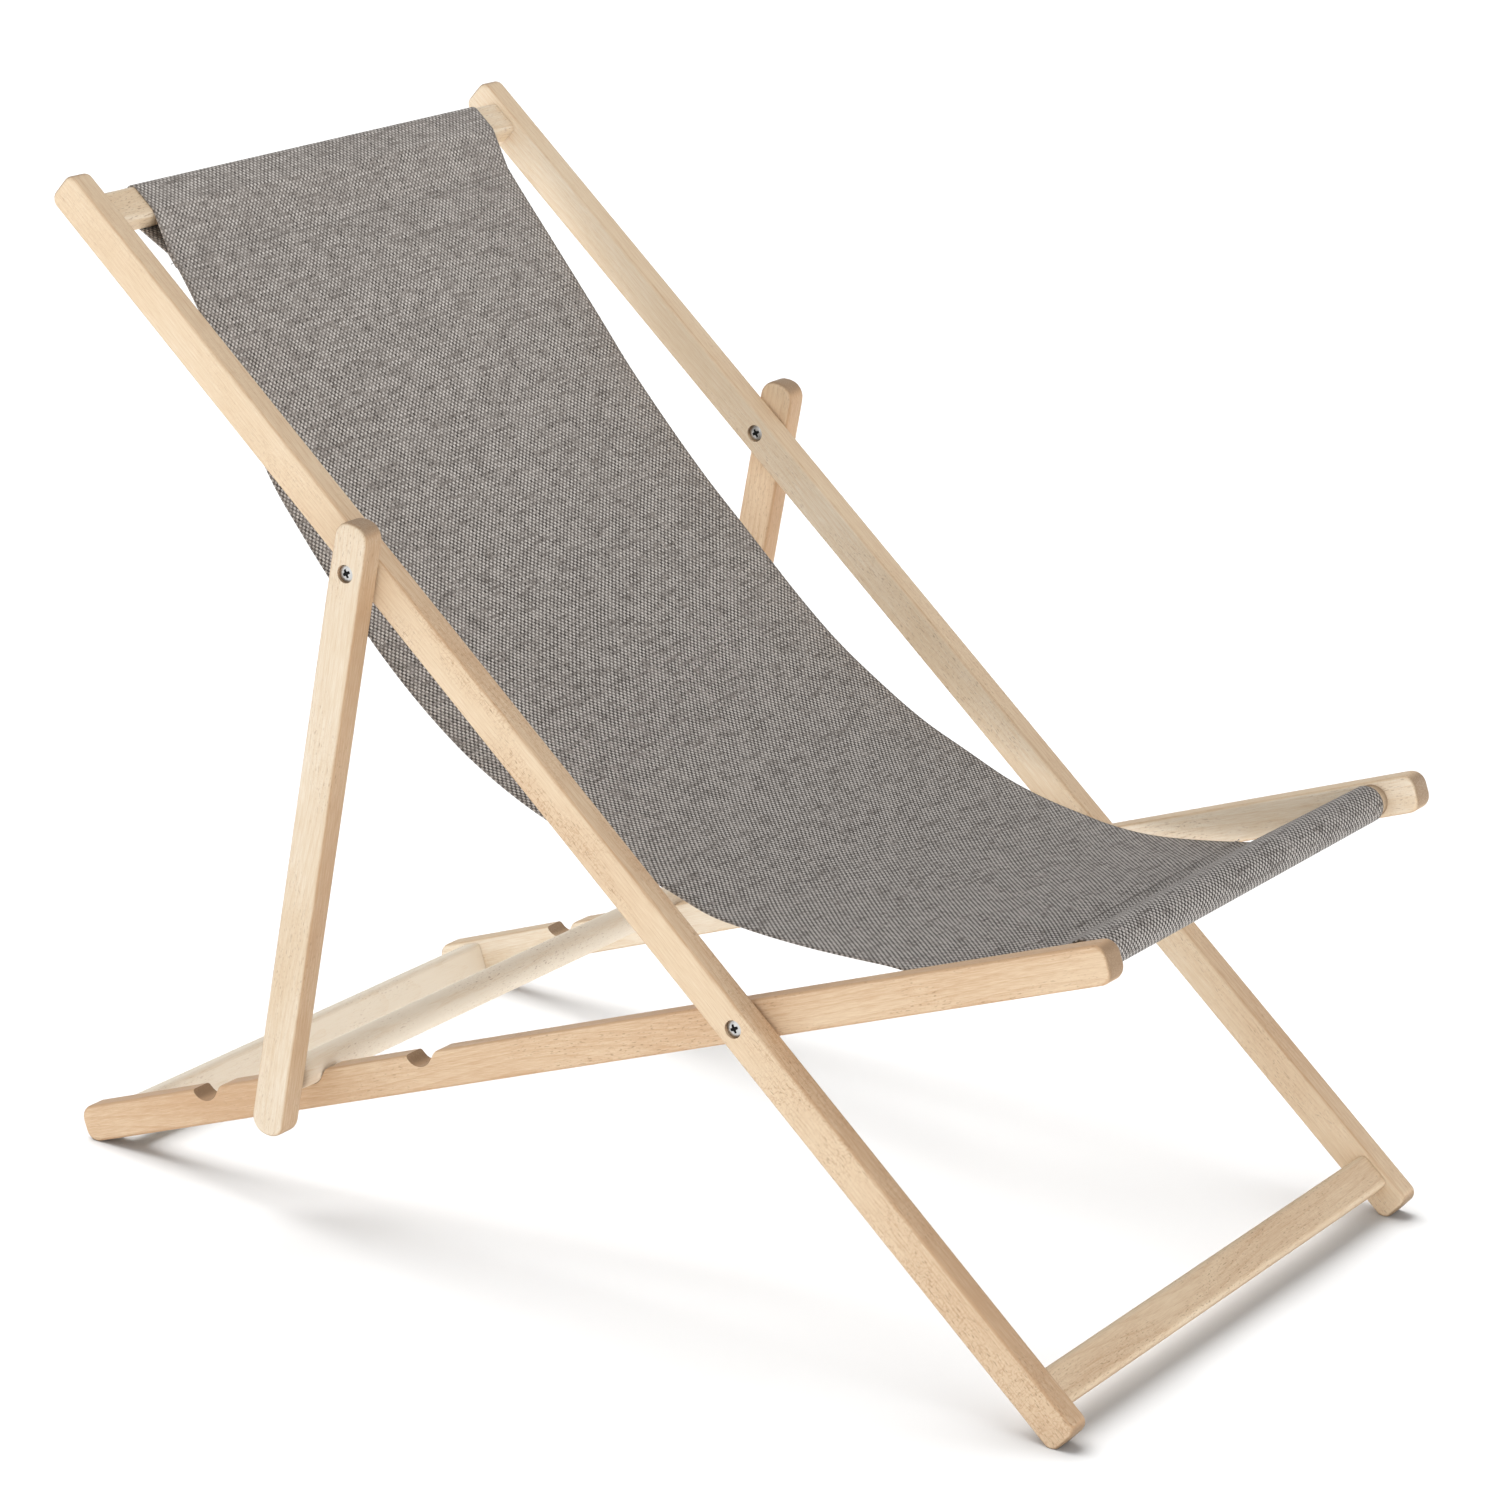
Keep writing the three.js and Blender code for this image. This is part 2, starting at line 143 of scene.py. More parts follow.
# The same for the level part, as the distance behind the pivot and above it.
SEAT_STATIONS = [
    (56, 54, 4.5, -5),
    (28, 49.3, 6.5, -7.5),
    (-5, 45.6, 8.5, -9.5),
    (-33, 43.8, 10, -11.5),
    (-68, 43, 11.5, -11.5),
    (-100, 43.3, 12, -8.5),
    (-130, 44, 9, -4.5),
    (-157, 44.6, 0, 0),
]


# ------------------------------------------------------------------ what a user sets
class ChairSizes(bpy.types.PropertyGroup):
    """The sizes that a user of the chair may change, in metres."""

    cloth: bpy.props.FloatProperty(
        name="Cloth thickness",
        description="Thickness of the sling's canvas",
        default=0.0012,
        unit="LENGTH",
    )
    thread: bpy.props.FloatProperty(
        name="Thread pitch",
        description="Distance between neighbouring threads of the weave",
        default=0.0023,
        unit="LENGTH",
    )
    hem: bpy.props.FloatProperty(
        name="Hem",
        description="How far the cloth runs on under itself past each seam",
        default=0.014,
        unit="LENGTH",
    )
    stitch: bpy.props.FloatProperty(
        name="Stitch pitch",
        description="Distance from one stitch to the next along a seam",
        default=0.0046,
        unit="LENGTH",
    )
    edge: bpy.props.FloatProperty(
        name="Edge angle",
        description="Wood edges turning by less than this are shown rounded",
        default=math.radians(52),
        subtype="ANGLE",
    )
    recess: bpy.props.FloatProperty(
        name="Cross recess",
        description="Half the length of the cross recess in a screw's head",
        default=0.0036,
        unit="LENGTH",
    )


class ChairColours(bpy.types.PropertyGroup):
    """The colours that a user of the chair may change."""

    # the rear crossbar and the prop dowel are pushed almost to this white: painted light standing in for the light
    # that falls on them
    beech_white: bpy.props.FloatVectorProperty(
        name="White beech",
        description="The palest wood, as on the rear bars",
        subtype="COLOR",
        default=(0.95, 0.845, 0.695),
    )
    beech_pale: bpy.props.FloatVectorProperty(
        name="Pale beech",
        description="Light wood between the growth lines",
        subtype="COLOR",
        default=(0.805, 0.632, 0.438),
    )
    beech_tan: bpy.props.FloatVectorProperty(
        name="Tan beech",
        description="Warmer wood in the growth lines and the low rails",
        subtype="COLOR",
        default=(0.60, 0.385, 0.225),
    )
    beech_fleck: bpy.props.FloatVectorProperty(
        name="Beech flecks",
        description="Small dark dashes along the grain",
        subtype="COLOR",
        default=(0.36, 0.21, 0.115),
    )
    # this colour, at a lower level, is also painted shade in the dips between threads
    thread_dark: bpy.props.FloatVectorProperty(
        name="Dark thread",
        description="Darkest fibres of the melange canvas",
        subtype="COLOR",
        default=(0.075, 0.064, 0.056),
    )
    thread_mid: bpy.props.FloatVectorProperty(
        name="Middle thread",
        description="Most common fibres of the melange canvas",
        subtype="COLOR",
        default=(0.335, 0.298, 0.270),
    )
    thread_light: bpy.props.FloatVectorProperty(
        name="Light thread",
        description="Lightest fibres of the melange canvas",
        subtype="COLOR",
        default=(0.755, 0.705, 0.66),
    )
    steel: bpy.props.FloatVectorProperty(
        name="Plated steel",
        description="Screws, sleeve nuts and washers",
        subtype="COLOR",
        default=(0.62, 0.62, 0.61),
    )
    floor: bpy.props.FloatVectorProperty(
        name="Floor",
        description="Plain pale floor under the chair",
        subtype="COLOR",
        default=(0.50, 0.50, 0.50),
    )


# ------------------------------------------------------------------ materials
class Number:
    """One number in a node tree. Arithmetic on it adds the Math nodes."""

    def __init__(self, recipe, socket):
        self.recipe, self.socket = recipe, socket

    def _math(self, operation, *values):
        return self.recipe.number(
            "ShaderNodeMath", {"operation": operation}, dict(enumerate(values))
        )

    def __add__(self, other):
        return self._math("ADD", self, other)

    def __sub__(self, other):
        return self._math("SUBTRACT", self, other)

    def __rsub__(self, other):
        return self._math("SUBTRACT", other, self)

    def __mul__(self, other):
        return self._math("MULTIPLY", self, other)

    def __truediv__(self, other):
        return self._math("DIVIDE", self, other)

    def __pow__(self, other):
        return self._math("POWER", self, other)

    __radd__, __rmul__ = __add__, __mul__

    def floor(self):
        return self._math("FLOOR", self)

    def fract(self):
        return self._math("FRACT", self)

    def cos(self):
        return self._math("COSINE", self)

    def abs(self):
        return self._math("ABSOLUTE", self)

    def root(self):
        return self._math("SQRT", self._math("MAXIMUM", self, 0.0))

    def above(self, other):
        return self._math("GREATER_THAN", self, other)

    def between(self, low, high):
        """0 below low, 1 above high, and a smooth step from one to the other."""
        return self.recipe.number(
            "ShaderNodeMapRange",
            {"interpolation_type": "SMOOTHSTEP"},
            {0: self, 1: low, 2: high},
        )


class Recipe:
    """The nodes of a material or a world, added one by one and ended in a shader."""

    def __init__(self, owner):
        owner.use_nodes = True
        self.owner, self.tree = owner, owner.node_tree
        self.tree.nodes.clear()

    def node(self, kind, settings=None, values=None):
        """Adds a node, sets its settings first and then its sockets' values or links."""
        made = self.tree.nodes.new(kind)
        for key, value in (settings or {}).items():
            setattr(made, key, value)
        for key, value in (values or {}).items():
            source = getattr(value, "socket", value)
            if isinstance(source, bpy.types.NodeSocket):
                self.tree.links.new(source, made.inputs[key])
            else:
                made.inputs[key].default_value = source
        return made

    def number(self, kind, settings=None, values=None, output=0):
        return Number(self, self.node(kind, settings, values).outputs[output])

    def joined(self, x, y, z):
        return self.node("ShaderNodeCombineXYZ", {}, {0: x, 1: y, 2: z}).outputs[0]

    def split(self, vector):
        parts = self.node("ShaderNodeSeparateXYZ", {}, {0: vector})
        return [Number(self, parts.outputs[i]) for i in range(3)]

    def noise(self, vector, scale=1.0, detail=2.0, rough=0.5):
        return self.number(
            "ShaderNodeTexNoise",
            {},
            {"Vector": vector, "Scale": scale, "Detail": detail, "Roughness": rough},
        )

    def mix(self, share, a, b, blend="MIX"):
        """Colour a turned towards colour b by share."""
        settings = {"data_type": "RGBA", "blend_type": blend}
        return self.node("ShaderNodeMix", settings, {0: share, 6: a, 7: b}).outputs[2]

    def finish(self, values, height=None, distance=0.0, strength=1.0):
        """The Principled shader with these values, and a Bump on its normal."""
        shader = self.node("ShaderNodeBsdfPrincipled", {}, values)
        if height is not None:
            bump = self.node(
                "ShaderNodeBump",
                {},
                {"Strength": strength, "Distance": distance, "Height": height},
            )
            self.tree.links.new(bump.outputs[0], shader.inputs["Normal"])
        self.node("ShaderNodeOutputMaterial", {}, {0: shader.outputs[0]})
        return self.owner


def new_material(name):
    return Recipe(bpy.data.materials.new(name))


def rgba(colour, level=1.0):
    return (*(c * level for c in colour), 1.0)


def beech_finish(
    name, tilt, centre, seed, warmth, flecks=1.0, fade=0.0, narrow=0.0, curl=0.2, level=1.0
):
    """Beech with its grain along one direction of the piece.

    The pattern's own second axis is the grain. Growth lines are rings round a far
    centre, wavering slowly along the grain; flecks are short dashes where a noise that
    is stretched along the grain rises over a limit; curls are the thin lines where a
    noise that is stretched across it passes its middle. Flecks and curls grow fewer
    along the grain. End grain is darker by how far the surface's own normal lies along
    the grain. A rounded edge gets painted shade, more tan by how far the surface turns
    away from all three directions. Fade makes the wood paler along its grain. Narrow
    makes the edge faces more tan than the wide ones, partly as the wood's own colour and
    partly as painted shade. Level darkens the pale and tan wood together.
    """
    colours = bpy.context.scene.chair_colours
    r = new_material(f"beech_{name}")
    place = r.node("ShaderNodeTexCoord")
    offset = np.random.default_rng(seed).uniform(-3.0, 3.0, 3)
    if tilt is None:  # a bar across the chair, with its grain along X
        turn, rotation = (0.0, 0.0, math.radians(90)), Matrix.Rotation(math.radians(90), 3, "Z")
    else:
        turn = (math.radians(-tilt), 0.0, 0.0)
        rotation = Matrix.Rotation(turn[0], 3, "X")
    shift = -(rotation @ Vector(centre)) + Vector((0.0, float(offset[1]), 0.0))

    def in_grain(kind, values):
        """The x, y and z of a direction or place, turned onto the pattern's axes."""
        values["Rotation"] = turn
        return r.split(r.node("ShaderNodeMapping", {"vector_type": kind}, values).outputs[0])

    across, along, deep = in_grain("POINT", {"Vector": place.outputs["Object"], "Location": shift})

    def stretched(size, detail, rough=0.5):
        """Noise with one size across the grain and another along it."""
        spot = r.joined(across / size[0], along / size[1], deep / size[0])
        return r.noise(spot, 1.0, detail, rough)

    sway = r.noise(r.joined(0.0, along * 2.2, float(offset[0])), 1.0, 1.0) - 0.5
    rx = across + float(0.05 + 0.012 * offset[0]) + sway * 0.03
    rz = deep + float(0.032 + 0.008 * offset[2]) + sway * 0.02
    waver = stretched(RING_WAVER, 2.0) - 0.5
    late = ((rx * rx + rz * rz).root() / RING_WIDTH + waver * 1.9).fract() ** 3.0
    fibre, broad = stretched(FIBRE, 3.0, 0.68), stretched(CLOUD, 3.0)

    run = along - float(offset[1])
    patch = stretched(PATCH, 1.0)
    figured = 1.0 - run.between(0.0, 0.45) * 0.75
    dash = stretched(DASH, 0.0).between(0.66, 0.78) * patch.between(0.38, 0.60)
    fleck = dash * figured * flecks
    line = 1.0 - (stretched(WAVE, 1.0) - 0.5).abs().between(0.0, 0.055)
    ripple = line * patch.between(0.36, 0.62) * figured * curl

    facing = in_grain("NORMAL", {"Vector": place.outputs["Normal"]})
    flank, lie, rise = (part.abs() for part in facing)
    end = lie.between(0.38, 0.85)
    # the narrow faces are made more tan: partly the wood's own colour, partly painted shade
    edge = rise.between(0.45, 0.9) * narrow
    # painted shade: a rounded edge is made more tan by how far its normal turns away from all three directions
    eased_edge_shade = 1.0 - (flank**8.0 + lie**8.0 + rise**8.0).between(0.12, 0.75)

    tan = late * 0.26 + (broad - 0.5) * 1.25 + (fibre - 0.5) * 1.5 + warmth + edge + eased_edge_shade * 0.35
    tan = tan - run * fade
    white, pale, warm = (
        rgba(shade, level) for shade in (colours.beech_white, colours.beech_pale, colours.beech_tan)
    )
    colour = r.mix(tan.between(-0.95, 0.25), white, pale)
    colour = r.mix(tan.between(0.0, 1.35), colour, warm)
    colour = r.mix(fleck * 0.75, colour, rgba(colours.beech_fleck))
    colour = r.mix(ripple * 0.55, colour, rgba(colours.beech_fleck, 1.4))
    colour = r.mix(end * (0.45 + fibre * 0.8), colour, rgba(colours.beech_tan, 0.55))
    rough = 0.56 + (fibre - 0.5) * 0.22
    height = fibre * 0.5 - late * 0.12 - fleck * 0.5 - ripple * 0.3
    looks = {"Base Color": colour, "Roughness": rough, "Specular IOR Level": 0.32}
    return r.finish(looks, height, 0.00022, 0.55)


def canvas_finish():
    """Coarse plain weave of melange threads, on the sling's own lengths in its UV map.

    A cell shows the warp where the sum of its two thread counts is even and the weft
    where it is odd. A thread is rounded across and dips at both ends of its cell. Each
    thread's colour wanders along it, so runs of a few cells come out lighter or darker.
    """
    sizes, colours = bpy.context.scene.chair_sizes, bpy.context.scene.chair_colours
    r = new_material("melange_canvas")
    u, v, _ = r.split(r.node("ShaderNodeUVMap", {"uv_map": "UVMap"}).outputs[0])
    drift = r.noise(r.joined(u * 9, v * 9, 0.0), 1.0, 1.0) - 0.5
    a = u / sizes.thread + drift * 1.3 + 400.0
    b = v / (sizes.thread * 1.02) + drift * 1.1 + 40.0
    column, row = a.floor(), b.floor()
    fa, fb = a.fract() - 0.5, b.fract() - 0.5
    even = ((column + row) * 0.5).fract().above(0.25)

    def strand(across, along):
        """Height of a thread: a half round across it, times its dip towards the ends."""
        return (1.0 - across * across * 3.7).root() * (0.45 + (along * math.pi).cos() * 0.55)

    warp_height, weft_height = strand(fa, fb), strand(fb, fa)
    height = weft_height * even + warp_height * (1.0 - even)
    warp_tone = r.noise(r.joined(column * 7.31, v / WARP_RUN, 3.0), 1.0, 2.0, 0.6)
    weft_tone = r.noise(r.joined(u / WEFT_RUN, row * 5.77, 9.0), 1.0, 2.0, 0.6)
    fuzz = r.noise(r.joined(u / HAIR, v / HAIR, 0.0), 1.0, 1.0) - 0.5
    weft = (weft_tone - 0.5) * 0.58 + 0.62
    warp = (warp_tone - 0.5) * 0.50 + 0.39
    tone = weft * even + warp * (1.0 - even) + fuzz * 0.16
    # threads differ more from one another towards the seat
    tone = (tone - 0.5) * (v * 0.85 + 0.84) + 0.5
    colour = r.mix(tone.between(0.25, 0.52), rgba(colours.thread_dark), rgba(colours.thread_mid))
    colour = r.mix(tone.between(0.46, 0.74), colour, rgba(colours.thread_light))
    # painted shade: the cloth is darker where the threads dip, between their rounded crests
    shade = height.between(-0.1, 0.8)
    colour = r.mix((1.0 - shade) * 0.85, colour, rgba(colours.thread_dark, 0.6))
    selvedge = u.abs().between(0.2165, 0.2185)
    colour = r.mix(selvedge * 0.35, colour, rgba(colours.thread_mid, 0.6))
    # painted shade: the cloth is a little greyer and darker towards the seat
    colour = r.mix(v.between(0.2, 1.5), colour, (0.74, 0.74, 0.745, 1.0), "MULTIPLY")
    return r.finish(
        {
            "Base Color": colour,
            "Roughness": 0.86,
            "Specular IOR Level": 0.22,
            "Sheen Weight": 0.12,
            "Sheen Roughness": 0.5,
        },
        height,
        distance=0.0007,
        strength=0.6,
    )


def thread_finish():
    """Sewing thread: a twisted strand, darker than the sling's own threads."""
    colours = bpy.context.scene.chair_colours
    r = new_material("sewing_thread")
    x, y, z = r.split(r.node("ShaderNodeTexCoord").outputs["Object"])
    ply = ((x + y * 0.5 + z * 0.5) / HAIR).fract()
    hair = r.noise(r.joined(x / 0.0009, y / 0.0009, z / 0.0009), 1.0, 1.0)
    darker, lighter = rgba(colours.thread_mid, 0.5), rgba(colours.thread_light, 0.5)
    colour = r.mix(hair.between(0.3, 0.7), darker, lighter)
    return r.finish({"Base Color": colour, "Roughness": 0.7}, ply, 0.00015, 0.5)


def steel_finish(with_recess=True):
    """Zinc-plated steel: fine cloudy plating, with painted shade down in the recess, which is also rougher."""
    colours = bpy.context.scene.chair_colours
    r = new_material("plated_steel" if with_recess else "plated_washer")
    x, y, z = r.split(r.node("ShaderNodeTexCoord").outputs["Object"])
    cloud = r.noise(r.joined(x / 0.0035, y / 0.0035, z / 0.0035), 1.0, 3.0, 0.6)
    grit = r.noise(r.joined(x / 0.0004, y / 0.0004, z / 0.0004), 1.0, 1.0)
    colour = r.mix(cloud, rgba(colours.steel, 0.72), rgba(colours.steel, 1.12))
    rough = 0.24 + cloud * 0.16 + grit * 0.06
    if with_recess:
        sunk = r.number("ShaderNodeAttribute", {"attribute_name": "sunk"}, output=2)
        # painted shade: the plating turns nearly black down in the cross recess
        colour = r.mix(sunk.between(0.02, 0.75), colour, rgba(colours.steel, 0.045))
        rough = rough + sunk * 0.3
    return r.finish(
        {"Base Color": colour, "Metallic": 1.0, "Roughness": rough}, grit, 0.00005, 0.3
    )


# ------------------------------------------------------------------ surfaces
def cartesian(tilt, along, off):
    """(0, y, z) from the pivot of a point along a frame's rail and off it."""
    a = math.radians(tilt)
    along, off = np.asarray(along, float), np.asarray(off, float)
    return np.stack(
        [
            along * 0.0,
            along * math.cos(a) - off * math.sin(a),
            along * math.sin(a) + off * math.cos(a),
        ],
        axis=-1,
    )


def new_object(name, data):
    """An object with this data, linked into the scene."""
    made = bpy.data.objects.new(name, data)
    bpy.context.scene.collection.objects.link(made)
    return made


def use_material(piece, material):
    """The piece shows this material only."""
    piece.data.materials.clear()
    piece.data.materials.append(material)


def shade_smooth(mesh):
    mesh.polygons.foreach_set("use_smooth", np.ones(len(mesh.polygons), bool))


def grid_quads(rows, columns, ring):
    """The quads between neighbours on a grid, and from its last column to its first."""
    wide = columns if ring else columns - 1
    i, j = np.meshgrid(np.arange(rows - 1), np.arange(wide), indexing="ij")
    k = (j + 1) % columns
    corners = [i * columns + j, (i + 1) * columns + j, (i + 1) * columns + k, i * columns + k]
    return np.stack(corners, axis=-1).reshape(-1, 4)


def grid_mesh(name, points, material, ring=False, uv=None):
    """A surface on a grid: points[i, j] is a vertex, and neighbours share a quad.

    With ring the last column is joined to the first. uv holds two lengths a vertex.
    """
    quads = grid_quads(*points.shape[:2], ring)
    mesh = bpy.data.meshes.new(name)
    mesh.from_pydata(points.reshape(-1, 3), [], quads)
    shade_smooth(mesh)
    if uv is not None:
        layer = mesh.uv_layers.new(name="UVMap")
        layer.data.foreach_set("uv", uv.reshape(-1, 2)[quads.ravel()].astype(np.float32).ravel())
    mesh.materials.append(material)
    mesh.update()
    return new_object(name, mesh)


def running_length(points):
    """How far each point lies along a line through them all."""
    steps = np.linalg.norm(np.diff(points, axis=0), axis=1)
    return np.concatenate([[0], np.cumsum(steps)])


def smooth_step(value, low, high):
    """0 at low, 1 at high, and three times the square less twice the cube between."""
    t = np.clip((value - low) / (high - low), 0, 1)
    return t * t * (3 - 2 * t)


def eased_line(points, count):
    """A smooth curve through points, sampled evenly by its length.

    Between two points the curve is a cubic whose slopes are the chords' mean, and the
    samples are read off its running length.
    """
    p = np.asarray(points, float)
    t = running_length(p[:, :2])
    slope = np.gradient(p, t, axis=0)
    fine = np.linspace(0, t[-1], 1600)
    k = np.clip(np.searchsorted(t, fine, side="right") - 1, 0, len(t) - 2)
    h = (t[k + 1] - t[k])[:, None]
    w = (fine - t[k])[:, None] / h
    curve = (
        p[k] * (2 * w**3 - 3 * w**2 + 1)
        + slope[k] * h * (w**3 - 2 * w**2 + w)
        + p[k + 1] * (3 * w**2 - 2 * w**3)
        + slope[k + 1] * h * (w**3 - w**2)
    )
    run = running_length(curve[:, :2])
    even = np.linspace(0, run[-1], count)
    return np.stack([np.interp(even, run, curve[:, c]) for c in range(p.shape[1])], axis=1)


def bend_round(centre, radius, start, stop, count):
    """Points of an arc about centre, angles in degrees."""
    a = np.radians(np.linspace(start, stop, count))
    return np.stack([centre[0] + radius * np.cos(a), centre[1] + radius * np.sin(a)], axis=1)


def touching_angle(point, centre, radius, way):
    """The angle at which a line from point just touches a circle, in degrees."""
    d = np.subtract(point, centre)
    return math.degrees(math.atan2(d[1], d[0]) + way * math.acos(radius / np.hypot(*d)))


def straight(a, b, count):
    """Points from a to b, both left out."""
    w = np.linspace(0, 1, count + 2)[1:-1, None]
    return np.asarray(a) * (1 - w) + np.asarray(b) * w


def normals_2d(path):
    """The normal of each point of a path, to the left of its way."""
    d = np.gradient(path, axis=0)
    d /= np.linalg.norm(d, axis=1)[:, None]
    return np.stack([-d[:, 1], d[:, 0]], axis=1)


def sling_path():
    """The cloth's side view from hem to hem, in millimetres from the pivot.

    Columns are y, z and how far the left and right edges lie off it. The cloth comes up
    from its hem, goes round the top bar and back to the seam, sags to the front seam,
    goes round the front dowel and ends in the second hem under itself.
    """
    sizes = bpy.context.scene.chair_sizes
    half = sizes.cloth / MM / 2
    gap = 0.3 + half
    lap = 2 * half + 0.25
    back = np.array(
        [
            (*cartesian(BACK_TILT, along, off)[1:], left, right)
            for along, off, left, right in BACK_STATIONS
        ]
    )
    sheet = eased_line(np.vstack([back, SEAT_STATIONS]), 210)
    side = normals_2d(sheet[:, :2])

    run = running_length(sheet[:, :2])
    under = (sheet[:, :2] + side * lap)[::-1]
    top_lap = under[run[::-1] <= sizes.hem / MM]
    front_lap = under[run[::-1] >= run[-1] - sizes.hem / MM]

    # the centres of the top bar's corner circles, in the long rail's own directions
    near, far = BAR_NEAR + BAR_CORNER, BAR_FAR - BAR_CORNER
    bottom, crest = BAR_UNDER + BAR_CORNER, BAR_OVER - BAR_CORNER
    low, high, far_low, far_high = (near, bottom), (near, crest), (far, bottom), (far, crest)
    r = BAR_CORNER + gap
    turn = np.radians(-BACK_TILT)
    spin = np.array([[math.cos(turn), -math.sin(turn)], [math.sin(turn), math.cos(turn)]])
    seam_out = spin @ sheet[0, :2]
    seam_in = spin @ top_lap[-1]
    a_in = touching_angle(seam_in, low, r, +1)
    a_out = touching_angle(seam_out, high, r, -1)
    loop = np.vstack(
        [
            straight(seam_in, bend_round(low, r, a_in, a_in, 1)[0], 6),
            bend_round(low, r, a_in % 360, 270, 4),
            straight((low[0], low[1] - r), (far_low[0], far_low[1] - r), 5),
            bend_round(far_low, r, 270, 360, 9),
            straight((far_low[0] + r, far_low[1]), (far_high[0] + r, far_high[1]), 3),
            bend_round(far_high, r, 0, 90, 9),
            straight((far_high[0], far_high[1] + r), (high[0], high[1] + r), 5),
            bend_round(high, r, 90, a_out % 360, 4),
            straight(bend_round(high, r, a_out, a_out, 1)[0], seam_out, 6),
        ]
    )
    top = loop @ spin

    lo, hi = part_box("seat_front_dowel")
    centre = (Vector((lo + hi) / 2) - PIVOT)[1:]
    centre = np.array(centre) / MM
    r = (hi.z - lo.z) / 2 / MM + gap
    crease_out, crease_in = sheet[-1, :2], front_lap[0]
    a_top = touching_angle(crease_out, centre, r, +1) % 360
    a_low = touching_angle(crease_in, centre, r, -1) % 360
    start, stop = (a_top, a_low) if a_low > a_top else (a_top, a_low + 360)
    front = np.vstack(
        [
            straight(crease_out, bend_round(centre, r, a_top, a_top, 1)[0], 26),
            bend_round(centre, r, start, stop, 36),
            straight(bend_round(centre, r, a_low, a_low, 1)[0], crease_in, 26),
        ]
    )

    def flat(points):
        return np.hstack([points, np.zeros((len(points), 2))])

    path = np.vstack([flat(top_lap), flat(top), sheet, flat(front), flat(front_lap)])
    first = len(top_lap) + len(top)
    return path, (first, first + len(sheet) - 1)


def sling_surface(columns=73):
    """The cloth as a grid: its side view carried across the width.

    At each point the sheet is moved along its own normal by the left edge's amount at
    the left, the right edge's at the right and a straight mix between, and by small
    pulls that fade away from both seams. Lengths along and across are its UV map.
    """
    path, (first, last) = sling_path()
    lo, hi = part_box("fabric_sling")
    half = (hi.x - lo.x) / 2 - 0.0002
    x = np.linspace(-half, half, columns)
    w = ((x + half) / (2 * half))[None, :]
    yz, left, right = path[:, :2], path[:, 2], path[:, 3]
    normal = normals_2d(yz)
    run = running_length(yz)
    on_sheet = (np.arange(len(path)) >= first) & (np.arange(len(path)) <= last)
    from_top = np.where(on_sheet, run - run[first], 0)
    from_crease = np.where(on_sheet, run[last] - run, 0)
    lift = left[:, None] * (1 - w) + right[:, None] * w
    pulls = np.cos(2 * np.pi * (x / 0.071 + 0.2)) + 0.6 * np.cos(2 * np.pi * (x / 0.043 + 0.55))
    fade_top = (from_top / 22) * np.exp(1 - from_top / 22)
    fade_crease = (from_crease / 26) * np.exp(1 - from_crease / 26)
    slack = np.cos(2 * np.pi * (x / 0.19 - 0.1))
    broad = np.sin(np.pi * np.clip(from_top / 520, 0, 1)) ** 2
    lift = lift + 0.28 * fade_top[:, None] * pulls + 0.42 * fade_crease[:, None] * pulls[::-1]
    lift = lift + 0.5 * broad[:, None] * slack
    sheet_normal = normal * np.where(normal[:, 1:] < 0, -1, 1)
    moved = yz[:, None, :] + sheet_normal[:, None, :] * (lift * on_sheet[:, None])[..., None]
    points = np.empty((len(path), columns, 3))
    # the cloth sits a little off the middle of the top bar and comes back down the sag
    off_middle = 0.005 * (1 - smooth_step(run - run[first], 0, 420))
    points[..., 0] = x[None, :] + off_middle[:, None]
    points[..., 1] = PIVOT.y + moved[..., 0] * MM
    points[..., 2] = PIVOT.z + moved[..., 1] * MM
    uv = np.stack(np.broadcast_arrays(x[None, :], run[:, None] * MM), axis=-1)
    return points, uv, (first, last), run[-1] * MM


def turned(name, rows, around, material, centre=(0.0, 0.0, 0.0), sunk=None):
    """A turned piece about an axis along X: rows are (x, radius), carried round it."""
    rows = np.asarray(rows, float)
    a = np.linspace(0, 2 * np.pi, around, endpoint=False)
    points = np.empty((len(rows), around, 3))
    points[..., 0] = centre[0] + rows[:, :1]
    points[..., 1] = centre[1] + rows[:, 1:2] * np.cos(a)
    points[..., 2] = centre[2] + rows[:, 1:2] * np.sin(a)
    if sunk is not None:
        points[..., 0] += sunk[0]
    made = grid_mesh(name, points, material, ring=True)
    if sunk is not None:
        marks = made.data.attributes.new("sunk", "FLOAT", "POINT")
        marks.data.foreach_set("value", sunk[1].astype(np.float32).ravel())
    close_poles(made)
    return made


def close_poles(made):
    """Merges the ring of equal points at each end and turns every face outwards."""
    work = bmesh.new()
    work.from_mesh(made.data)
    bmesh.ops.remove_doubles(work, verts=work.verts, dist=1e-6)
    bmesh.ops.recalc_face_normals(work, faces=work.faces)
    work.to_mesh(made.data)
    work.free()


def rounded_end(x, radius, ease, way, count=5):
    """Rows of a quarter round between a flat end at x and a barrel, in profile."""
    a = np.linspace(0, np.pi / 2, count)
    return np.stack([x - way * ease * (1 - np.sin(a)), radius - ease * (1 - np.cos(a))], axis=1)


# ------------------------------------------------------------------ operators
def stands_for(made, node):
    """The piece replaces a CAD node and rides on its body."""
    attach(made, BODY_OF[node])
    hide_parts(node)
    return made


def middle(node):
    lo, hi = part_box(node)
    return (lo + hi) / 2
